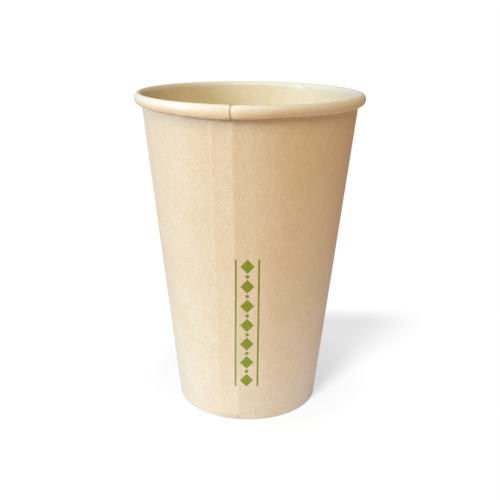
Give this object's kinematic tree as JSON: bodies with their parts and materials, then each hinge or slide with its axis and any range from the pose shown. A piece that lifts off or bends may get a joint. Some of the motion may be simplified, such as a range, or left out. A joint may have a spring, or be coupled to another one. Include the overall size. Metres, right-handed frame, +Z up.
{
  "type": "paper cup",
  "caption": "Tall single-wall paper drinking cup: tapered lapped side wall, rolled rim, recessed flanged base gripped in a folded foot hem, film-lined inside.",
  "frame": {"origin": "centre of the foot ring, on the surface that the cup stands on", "axes": "+Z up along the cup's axis, -Y towards the picture's viewer, +X to that viewer's right"},
  "size_m": [0.09, 0.09, 0.128],
  "materials": {
    "wall_board": "uncoated unbleached board, matt, fine fibre grain",
    "base_board": "uncoated unbleached board, matt, fine fibre grain",
    "lining_film": "clear film bonded to the board, satin"
  },
  "bodies": {
    "root": {"side_wall": "wall_board", "wall_lining": "lining_film", "base_disc": "base_board", "base_lining": "lining_film"}
  },
  "joints": []
}
